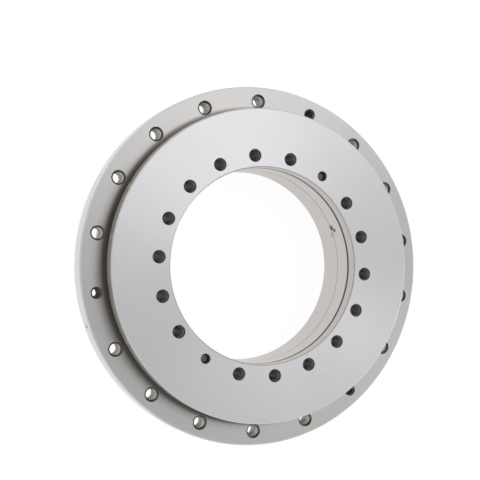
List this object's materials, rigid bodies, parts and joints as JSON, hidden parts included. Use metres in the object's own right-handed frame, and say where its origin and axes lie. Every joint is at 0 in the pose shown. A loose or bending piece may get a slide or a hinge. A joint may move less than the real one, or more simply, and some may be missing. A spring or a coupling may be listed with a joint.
{
  "type": "axial radial roller bearing",
  "caption": "Axial and radial roller bearing for a rotary table: a flanged outer ring with its own bolt circle turns on a clamped pair of inner rings.",
  "frame": {"origin": "centre of the bore on the bottom face, where the flange of the L-section ring rests", "axes": "+Z along the bearing's axis towards the shaft washer; +Y towards a fixing hole of the inner rings"},
  "size_m": [0.185, 0.185, 0.038],
  "materials": {
    "ring_steel": "satin",
    "roller_steel": "polished",
    "cage_brass": "satin",
    "screw_steel": "matte"
  },
  "bodies": {
    "inner_rings": {"l_section_ring": "ring_steel", "shaft_washer": "ring_steel", "retaining_screws": "screw_steel"},
    "outer_ring": {"outer_ring": "ring_steel"},
    "axial_set_lower": {"axial_cage_lower": "cage_brass", "axial_rollers_lower": "roller_steel"},
    "axial_set_upper": {"axial_cage_upper": "cage_brass", "axial_rollers_upper": "roller_steel"},
    "radial_cage": {"radial_cage": "cage_brass"},
    "radial_roller_01": {"radial_roller_01": "roller_steel"},
    "radial_roller_02": {"radial_roller_02": "roller_steel"},
    "radial_roller_03": {"radial_roller_03": "roller_steel"},
    "radial_roller_04": {"radial_roller_04": "roller_steel"},
    "radial_roller_05": {"radial_roller_05": "roller_steel"},
    "radial_roller_06": {"radial_roller_06": "roller_steel"},
    "radial_roller_07": {"radial_roller_07": "roller_steel"},
    "radial_roller_08": {"radial_roller_08": "roller_steel"},
    "radial_roller_09": {"radial_roller_09": "roller_steel"},
    "radial_roller_10": {"radial_roller_10": "roller_steel"},
    "radial_roller_11": {"radial_roller_11": "roller_steel"},
    "radial_roller_12": {"radial_roller_12": "roller_steel"},
    "radial_roller_13": {"radial_roller_13": "roller_steel"},
    "radial_roller_14": {"radial_roller_14": "roller_steel"},
    "radial_roller_15": {"radial_roller_15": "roller_steel"},
    "radial_roller_16": {"radial_roller_16": "roller_steel"},
    "radial_roller_17": {"radial_roller_17": "roller_steel"},
    "radial_roller_18": {"radial_roller_18": "roller_steel"},
    "radial_roller_19": {"radial_roller_19": "roller_steel"},
    "radial_roller_20": {"radial_roller_20": "roller_steel"},
    "radial_roller_21": {"radial_roller_21": "roller_steel"},
    "radial_roller_22": {"radial_roller_22": "roller_steel"},
    "radial_roller_23": {"radial_roller_23": "roller_steel"},
    "radial_roller_24": {"radial_roller_24": "roller_steel"},
    "radial_roller_25": {"radial_roller_25": "roller_steel"},
    "radial_roller_26": {"radial_roller_26": "roller_steel"},
    "radial_roller_27": {"radial_roller_27": "roller_steel"},
    "radial_roller_28": {"radial_roller_28": "roller_steel"},
    "radial_roller_29": {"radial_roller_29": "roller_steel"},
    "radial_roller_30": {"radial_roller_30": "roller_steel"},
    "radial_roller_31": {"radial_roller_31": "roller_steel"},
    "radial_roller_32": {"radial_roller_32": "roller_steel"},
    "radial_roller_33": {"radial_roller_33": "roller_steel"},
    "radial_roller_34": {"radial_roller_34": "roller_steel"},
    "radial_roller_35": {"radial_roller_35": "roller_steel"},
    "radial_roller_36": {"radial_roller_36": "roller_steel"},
    "radial_roller_37": {"radial_roller_37": "roller_steel"},
    "radial_roller_38": {"radial_roller_38": "roller_steel"},
    "radial_roller_39": {"radial_roller_39": "roller_steel"},
    "radial_roller_40": {"radial_roller_40": "roller_steel"},
    "radial_roller_41": {"radial_roller_41": "roller_steel"},
    "radial_roller_42": {"radial_roller_42": "roller_steel"},
    "radial_roller_43": {"radial_roller_43": "roller_steel"},
    "radial_roller_44": {"radial_roller_44": "roller_steel"},
    "radial_roller_45": {"radial_roller_45": "roller_steel"},
    "radial_roller_46": {"radial_roller_46": "roller_steel"},
    "radial_roller_47": {"radial_roller_47": "roller_steel"},
    "radial_roller_48": {"radial_roller_48": "roller_steel"}
  },
  "joints": [
    {"name": "outer_ring_turn", "type": "hinge", "parent": "inner_rings", "child": "outer_ring", "pos_m": [0, 0, 0.019], "axis": [0, 0, 1], "continuous": true},
    {"name": "axial_set_lower_turn", "type": "hinge", "parent": "inner_rings", "child": "axial_set_lower", "pos_m": [0, 0, 0.019], "axis": [0, 0, 1], "continuous": true},
    {"name": "axial_set_upper_turn", "type": "hinge", "parent": "inner_rings", "child": "axial_set_upper", "pos_m": [0, 0, 0.019], "axis": [0, 0, 1], "continuous": true},
    {"name": "radial_cage_turn", "type": "hinge", "parent": "inner_rings", "child": "radial_cage", "pos_m": [0, 0, 0.019], "axis": [0, 0, 1], "continuous": true},
    {"name": "radial_roller_01_roll", "type": "hinge", "parent": "radial_cage", "child": "radial_roller_01", "pos_m": [0.064, 0, 0.019], "axis": [0, 0, 1], "continuous": true},
    {"name": "radial_roller_02_roll", "type": "hinge", "parent": "radial_cage", "child": "radial_roller_02", "pos_m": [0.06345, 0.00835, 0.019], "axis": [0, 0, 1], "continuous": true},
    {"name": "radial_roller_03_roll", "type": "hinge", "parent": "radial_cage", "child": "radial_roller_03", "pos_m": [0.06182, 0.01656, 0.019], "axis": [0, 0, 1], "continuous": true},
    {"name": "radial_roller_04_roll", "type": "hinge", "parent": "radial_cage", "child": "radial_roller_04", "pos_m": [0.05913, 0.02449, 0.019], "axis": [0, 0, 1], "continuous": true},
    {"name": "radial_roller_05_roll", "type": "hinge", "parent": "radial_cage", "child": "radial_roller_05", "pos_m": [0.05543, 0.032, 0.019], "axis": [0, 0, 1], "continuous": true},
    {"name": "radial_roller_06_roll", "type": "hinge", "parent": "radial_cage", "child": "radial_roller_06", "pos_m": [0.05077, 0.03896, 0.019], "axis": [0, 0, 1], "continuous": true},
    {"name": "radial_roller_07_roll", "type": "hinge", "parent": "radial_cage", "child": "radial_roller_07", "pos_m": [0.04525, 0.04525, 0.019], "axis": [0, 0, 1], "continuous": true},
    {"name": "radial_roller_08_roll", "type": "hinge", "parent": "radial_cage", "child": "radial_roller_08", "pos_m": [0.03896, 0.05077, 0.019], "axis": [0, 0, 1], "continuous": true},
    {"name": "radial_roller_09_roll", "type": "hinge", "parent": "radial_cage", "child": "radial_roller_09", "pos_m": [0.032, 0.05543, 0.019], "axis": [0, 0, 1], "continuous": true},
    {"name": "radial_roller_10_roll", "type": "hinge", "parent": "radial_cage", "child": "radial_roller_10", "pos_m": [0.02449, 0.05913, 0.019], "axis": [0, 0, 1], "continuous": true},
    {"name": "radial_roller_11_roll", "type": "hinge", "parent": "radial_cage", "child": "radial_roller_11", "pos_m": [0.01656, 0.06182, 0.019], "axis": [0, 0, 1], "continuous": true},
    {"name": "radial_roller_12_roll", "type": "hinge", "parent": "radial_cage", "child": "radial_roller_12", "pos_m": [0.00835, 0.06345, 0.019], "axis": [0, 0, 1], "continuous": true},
    {"name": "radial_roller_13_roll", "type": "hinge", "parent": "radial_cage", "child": "radial_roller_13", "pos_m": [0, 0.064, 0.019], "axis": [0, 0, 1], "continuous": true},
    {"name": "radial_roller_14_roll", "type": "hinge", "parent": "radial_cage", "child": "radial_roller_14", "pos_m": [-0.00835, 0.06345, 0.019], "axis": [0, 0, 1], "continuous": true},
    {"name": "radial_roller_15_roll", "type": "hinge", "parent": "radial_cage", "child": "radial_roller_15", "pos_m": [-0.01656, 0.06182, 0.019], "axis": [0, 0, 1], "continuous": true},
    {"name": "radial_roller_16_roll", "type": "hinge", "parent": "radial_cage", "child": "radial_roller_16", "pos_m": [-0.02449, 0.05913, 0.019], "axis": [0, 0, 1], "continuous": true},
    {"name": "radial_roller_17_roll", "type": "hinge", "parent": "radial_cage", "child": "radial_roller_17", "pos_m": [-0.032, 0.05543, 0.019], "axis": [0, 0, 1], "continuous": true},
    {"name": "radial_roller_18_roll", "type": "hinge", "parent": "radial_cage", "child": "radial_roller_18", "pos_m": [-0.03896, 0.05077, 0.019], "axis": [0, 0, 1], "continuous": true},
    {"name": "radial_roller_19_roll", "type": "hinge", "parent": "radial_cage", "child": "radial_roller_19", "pos_m": [-0.04525, 0.04525, 0.019], "axis": [0, 0, 1], "continuous": true},
    {"name": "radial_roller_20_roll", "type": "hinge", "parent": "radial_cage", "child": "radial_roller_20", "pos_m": [-0.05077, 0.03896, 0.019], "axis": [0, 0, 1], "continuous": true},
    {"name": "radial_roller_21_roll", "type": "hinge", "parent": "radial_cage", "child": "radial_roller_21", "pos_m": [-0.05543, 0.032, 0.019], "axis": [0, 0, 1], "continuous": true},
    {"name": "radial_roller_22_roll", "type": "hinge", "parent": "radial_cage", "child": "radial_roller_22", "pos_m": [-0.05913, 0.02449, 0.019], "axis": [0, 0, 1], "continuous": true},
    {"name": "radial_roller_23_roll", "type": "hinge", "parent": "radial_cage", "child": "radial_roller_23", "pos_m": [-0.06182, 0.01656, 0.019], "axis": [0, 0, 1], "continuous": true},
    {"name": "radial_roller_24_roll", "type": "hinge", "parent": "radial_cage", "child": "radial_roller_24", "pos_m": [-0.06345, 0.00835, 0.019], "axis": [0, 0, 1], "continuous": true},
    {"name": "radial_roller_25_roll", "type": "hinge", "parent": "radial_cage", "child": "radial_roller_25", "pos_m": [-0.064, 0, 0.019], "axis": [0, 0, 1], "continuous": true},
    {"name": "radial_roller_26_roll", "type": "hinge", "parent": "radial_cage", "child": "radial_roller_26", "pos_m": [-0.06345, -0.00835, 0.019], "axis": [0, 0, 1], "continuous": true},
    {"name": "radial_roller_27_roll", "type": "hinge", "parent": "radial_cage", "child": "radial_roller_27", "pos_m": [-0.06182, -0.01656, 0.019], "axis": [0, 0, 1], "continuous": true},
    {"name": "radial_roller_28_roll", "type": "hinge", "parent": "radial_cage", "child": "radial_roller_28", "pos_m": [-0.05913, -0.02449, 0.019], "axis": [0, 0, 1], "continuous": true},
    {"name": "radial_roller_29_roll", "type": "hinge", "parent": "radial_cage", "child": "radial_roller_29", "pos_m": [-0.05543, -0.032, 0.019], "axis": [0, 0, 1], "continuous": true},
    {"name": "radial_roller_30_roll", "type": "hinge", "parent": "radial_cage", "child": "radial_roller_30", "pos_m": [-0.05077, -0.03896, 0.019], "axis": [0, 0, 1], "continuous": true},
    {"name": "radial_roller_31_roll", "type": "hinge", "parent": "radial_cage", "child": "radial_roller_31", "pos_m": [-0.04525, -0.04525, 0.019], "axis": [0, 0, 1], "continuous": true},
    {"name": "radial_roller_32_roll", "type": "hinge", "parent": "radial_cage", "child": "radial_roller_32", "pos_m": [-0.03896, -0.05077, 0.019], "axis": [0, 0, 1], "continuous": true},
    {"name": "radial_roller_33_roll", "type": "hinge", "parent": "radial_cage", "child": "radial_roller_33", "pos_m": [-0.032, -0.05543, 0.019], "axis": [0, 0, 1], "continuous": true},
    {"name": "radial_roller_34_roll", "type": "hinge", "parent": "radial_cage", "child": "radial_roller_34", "pos_m": [-0.02449, -0.05913, 0.019], "axis": [0, 0, 1], "continuous": true},
    {"name": "radial_roller_35_roll", "type": "hinge", "parent": "radial_cage", "child": "radial_roller_35", "pos_m": [-0.01656, -0.06182, 0.019], "axis": [0, 0, 1], "continuous": true},
    {"name": "radial_roller_36_roll", "type": "hinge", "parent": "radial_cage", "child": "radial_roller_36", "pos_m": [-0.00835, -0.06345, 0.019], "axis": [0, 0, 1], "continuous": true},
    {"name": "radial_roller_37_roll", "type": "hinge", "parent": "radial_cage", "child": "radial_roller_37", "pos_m": [0, -0.064, 0.019], "axis": [0, 0, 1], "continuous": true},
    {"name": "radial_roller_38_roll", "type": "hinge", "parent": "radial_cage", "child": "radial_roller_38", "pos_m": [0.00835, -0.06345, 0.019], "axis": [0, 0, 1], "continuous": true},
    {"name": "radial_roller_39_roll", "type": "hinge", "parent": "radial_cage", "child": "radial_roller_39", "pos_m": [0.01656, -0.06182, 0.019], "axis": [0, 0, 1], "continuous": true},
    {"name": "radial_roller_40_roll", "type": "hinge", "parent": "radial_cage", "child": "radial_roller_40", "pos_m": [0.02449, -0.05913, 0.019], "axis": [0, 0, 1], "continuous": true},
    {"name": "radial_roller_41_roll", "type": "hinge", "parent": "radial_cage", "child": "radial_roller_41", "pos_m": [0.032, -0.05543, 0.019], "axis": [0, 0, 1], "continuous": true},
    {"name": "radial_roller_42_roll", "type": "hinge", "parent": "radial_cage", "child": "radial_roller_42", "pos_m": [0.03896, -0.05077, 0.019], "axis": [0, 0, 1], "continuous": true},
    {"name": "radial_roller_43_roll", "type": "hinge", "parent": "radial_cage", "child": "radial_roller_43", "pos_m": [0.04525, -0.04525, 0.019], "axis": [0, 0, 1], "continuous": true},
    {"name": "radial_roller_44_roll", "type": "hinge", "parent": "radial_cage", "child": "radial_roller_44", "pos_m": [0.05077, -0.03896, 0.019], "axis": [0, 0, 1], "continuous": true},
    {"name": "radial_roller_45_roll", "type": "hinge", "parent": "radial_cage", "child": "radial_roller_45", "pos_m": [0.05543, -0.032, 0.019], "axis": [0, 0, 1], "continuous": true},
    {"name": "radial_roller_46_roll", "type": "hinge", "parent": "radial_cage", "child": "radial_roller_46", "pos_m": [0.05913, -0.02449, 0.019], "axis": [0, 0, 1], "continuous": true},
    {"name": "radial_roller_47_roll", "type": "hinge", "parent": "radial_cage", "child": "radial_roller_47", "pos_m": [0.06182, -0.01656, 0.019], "axis": [0, 0, 1], "continuous": true},
    {"name": "radial_roller_48_roll", "type": "hinge", "parent": "radial_cage", "child": "radial_roller_48", "pos_m": [0.06345, -0.00835, 0.019], "axis": [0, 0, 1], "continuous": true}
  ],
  "couplings": [
    {"joint": "axial_set_lower_turn", "follows": "outer_ring_turn", "ratio": 0.5},
    {"joint": "axial_set_upper_turn", "follows": "outer_ring_turn", "ratio": 0.5},
    {"joint": "radial_cage_turn", "follows": "outer_ring_turn", "ratio": 0.52344},
    {"joint": "radial_roller_01_roll", "follows": "outer_ring_turn", "ratio": 10.824},
    {"joint": "radial_roller_02_roll", "follows": "outer_ring_turn", "ratio": 10.824},
    {"joint": "radial_roller_03_roll", "follows": "outer_ring_turn", "ratio": 10.824},
    {"joint": "radial_roller_04_roll", "follows": "outer_ring_turn", "ratio": 10.824},
    {"joint": "radial_roller_05_roll", "follows": "outer_ring_turn", "ratio": 10.824},
    {"joint": "radial_roller_06_roll", "follows": "outer_ring_turn", "ratio": 10.824},
    {"joint": "radial_roller_07_roll", "follows": "outer_ring_turn", "ratio": 10.824},
    {"joint": "radial_roller_08_roll", "follows": "outer_ring_turn", "ratio": 10.824},
    {"joint": "radial_roller_09_roll", "follows": "outer_ring_turn", "ratio": 10.824},
    {"joint": "radial_roller_10_roll", "follows": "outer_ring_turn", "ratio": 10.824},
    {"joint": "radial_roller_11_roll", "follows": "outer_ring_turn", "ratio": 10.824},
    {"joint": "radial_roller_12_roll", "follows": "outer_ring_turn", "ratio": 10.824},
    {"joint": "radial_roller_13_roll", "follows": "outer_ring_turn", "ratio": 10.824},
    {"joint": "radial_roller_14_roll", "follows": "outer_ring_turn", "ratio": 10.824},
    {"joint": "radial_roller_15_roll", "follows": "outer_ring_turn", "ratio": 10.824},
    {"joint": "radial_roller_16_roll", "follows": "outer_ring_turn", "ratio": 10.824},
    {"joint": "radial_roller_17_roll", "follows": "outer_ring_turn", "ratio": 10.824},
    {"joint": "radial_roller_18_roll", "follows": "outer_ring_turn", "ratio": 10.824},
    {"joint": "radial_roller_19_roll", "follows": "outer_ring_turn", "ratio": 10.824},
    {"joint": "radial_roller_20_roll", "follows": "outer_ring_turn", "ratio": 10.824},
    {"joint": "radial_roller_21_roll", "follows": "outer_ring_turn", "ratio": 10.824},
    {"joint": "radial_roller_22_roll", "follows": "outer_ring_turn", "ratio": 10.824},
    {"joint": "radial_roller_23_roll", "follows": "outer_ring_turn", "ratio": 10.824},
    {"joint": "radial_roller_24_roll", "follows": "outer_ring_turn", "ratio": 10.824},
    {"joint": "radial_roller_25_roll", "follows": "outer_ring_turn", "ratio": 10.824},
    {"joint": "radial_roller_26_roll", "follows": "outer_ring_turn", "ratio": 10.824},
    {"joint": "radial_roller_27_roll", "follows": "outer_ring_turn", "ratio": 10.824},
    {"joint": "radial_roller_28_roll", "follows": "outer_ring_turn", "ratio": 10.824},
    {"joint": "radial_roller_29_roll", "follows": "outer_ring_turn", "ratio": 10.824},
    {"joint": "radial_roller_30_roll", "follows": "outer_ring_turn", "ratio": 10.824},
    {"joint": "radial_roller_31_roll", "follows": "outer_ring_turn", "ratio": 10.824},
    {"joint": "radial_roller_32_roll", "follows": "outer_ring_turn", "ratio": 10.824},
    {"joint": "radial_roller_33_roll", "follows": "outer_ring_turn", "ratio": 10.824},
    {"joint": "radial_roller_34_roll", "follows": "outer_ring_turn", "ratio": 10.824},
    {"joint": "radial_roller_35_roll", "follows": "outer_ring_turn", "ratio": 10.824},
    {"joint": "radial_roller_36_roll", "follows": "outer_ring_turn", "ratio": 10.824},
    {"joint": "radial_roller_37_roll", "follows": "outer_ring_turn", "ratio": 10.824},
    {"joint": "radial_roller_38_roll", "follows": "outer_ring_turn", "ratio": 10.824},
    {"joint": "radial_roller_39_roll", "follows": "outer_ring_turn", "ratio": 10.824},
    {"joint": "radial_roller_40_roll", "follows": "outer_ring_turn", "ratio": 10.824},
    {"joint": "radial_roller_41_roll", "follows": "outer_ring_turn", "ratio": 10.824},
    {"joint": "radial_roller_42_roll", "follows": "outer_ring_turn", "ratio": 10.824},
    {"joint": "radial_roller_43_roll", "follows": "outer_ring_turn", "ratio": 10.824},
    {"joint": "radial_roller_44_roll", "follows": "outer_ring_turn", "ratio": 10.824},
    {"joint": "radial_roller_45_roll", "follows": "outer_ring_turn", "ratio": 10.824},
    {"joint": "radial_roller_46_roll", "follows": "outer_ring_turn", "ratio": 10.824},
    {"joint": "radial_roller_47_roll", "follows": "outer_ring_turn", "ratio": 10.824},
    {"joint": "radial_roller_48_roll", "follows": "outer_ring_turn", "ratio": 10.824}
  ]
}
